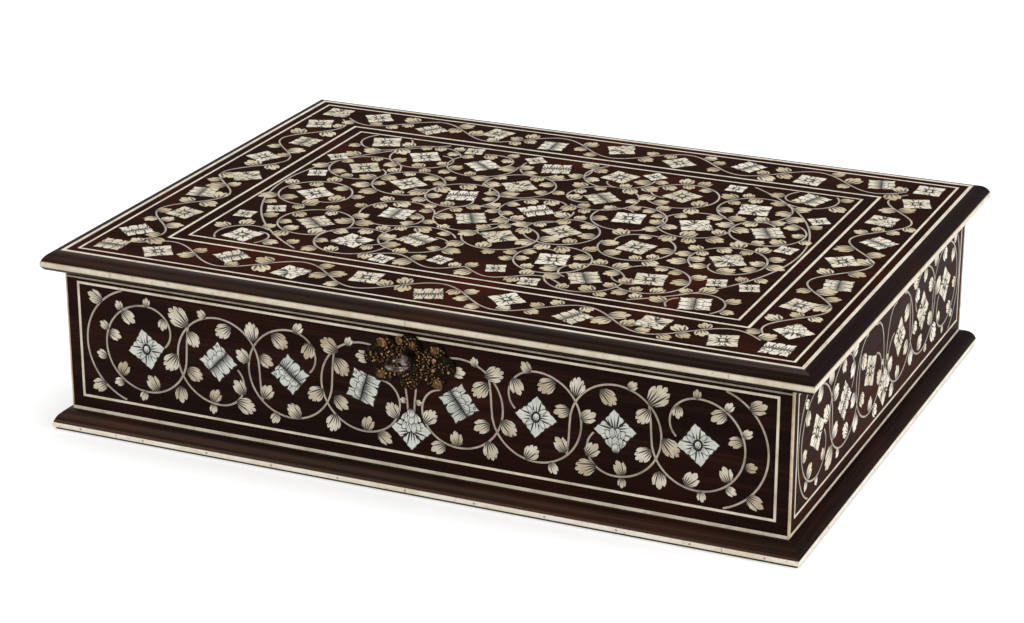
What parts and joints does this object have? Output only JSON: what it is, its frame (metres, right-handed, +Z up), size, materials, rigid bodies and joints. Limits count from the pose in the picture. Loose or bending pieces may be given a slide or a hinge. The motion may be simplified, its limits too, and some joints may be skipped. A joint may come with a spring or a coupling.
{
  "type": "inlaid wooden table box",
  "caption": "Rectangular dark wood table box with a moulded hinged lid and base, bone flower and scroll inlay, and a front lock with its key.",
  "frame": {"origin": "centre of the underside, on the surface it stands on", "axes": "+X right along the front, +Y to the hinged back, +Z up"},
  "size_m": [0.466, 0.3636, 0.108],
  "materials": {
    "dark_wood": "polished ebony or rosewood",
    "carcass_wood": "plain planed boards",
    "bone": null,
    "gilt_copper": "worn gilding",
    "brass_fittings": "dull",
    "iron": "dark forged iron"
  },
  "bodies": {
    "case": {"base_plate": "dark_wood", "bottom_board": "carcass_wood", "front_board": "carcass_wood", "front_veneer": "dark_wood", "front_panel_line": "bone", "front_flowers": "bone", "base_moulding_front": "dark_wood", "back_board": "carcass_wood", "back_veneer": "dark_wood", "back_panel_line": "bone", "back_flowers": "bone", "base_moulding_back": "dark_wood", "left_board": "carcass_wood", "left_veneer": "dark_wood", "left_panel_line": "bone", "left_flowers": "bone", "base_moulding_left": "dark_wood", "right_board": "carcass_wood", "right_veneer": "dark_wood", "right_panel_line": "bone", "right_flowers": "bone", "base_moulding_right": "dark_wood", "wall_top_lines": "bone", "wall_foot_lines": "bone", "corner_fillets": "bone", "base_strips": "bone", "escutcheon": "gilt_copper", "escutcheon_pins": "gilt_copper", "lock_plate": "iron", "lock_case": "iron", "lock_nails": "iron", "bolt_guide": "iron", "bolt_spring": "iron", "hinge_lower_leaves": "brass_fittings", "hinge_pins": "brass_fittings", "hinge_lower_nails": "brass_fittings"},
    "lid": {"lid_board": "carcass_wood", "lid_veneer": "dark_wood", "lid_moulding_front": "dark_wood", "lid_moulding_back": "dark_wood", "lid_moulding_left": "dark_wood", "lid_moulding_right": "dark_wood", "lid_strips": "bone", "lid_edge_line": "bone", "lid_border_line": "bone", "lid_frame_outer_line": "bone", "lid_frame_inner_line": "bone", "lid_field_flowers": "bone", "lid_border_flowers": "bone", "hinge_upper_leaves": "brass_fittings", "hinge_upper_nails": "brass_fittings", "lid_staple": "iron", "staple_nails": "iron"},
    "key": {"key": "iron"},
    "bolt": {"lock_bolt": "iron"}
  },
  "joints": [
    {"name": "lid_hinge", "type": "hinge", "parent": "case", "child": "lid", "pos_m": [0, 0.1689, 0.096], "axis": [-1, 0, 0], "range_deg": [0, 108]},
    {"name": "key_turn", "type": "hinge", "parent": "case", "child": "key", "pos_m": [0, -0.166, 0.08], "axis": [0, 1, 0], "range_deg": [-90, 90]},
    {"name": "bolt_slide", "type": "slide", "parent": "case", "child": "bolt", "axis": [1, 0, 0], "range_m": [-0.006, 0.006]}
  ],
  "couplings": [
    {"joint": "key_turn", "follows": "bolt_slide", "rad_per_m": 261.7}
  ]
}
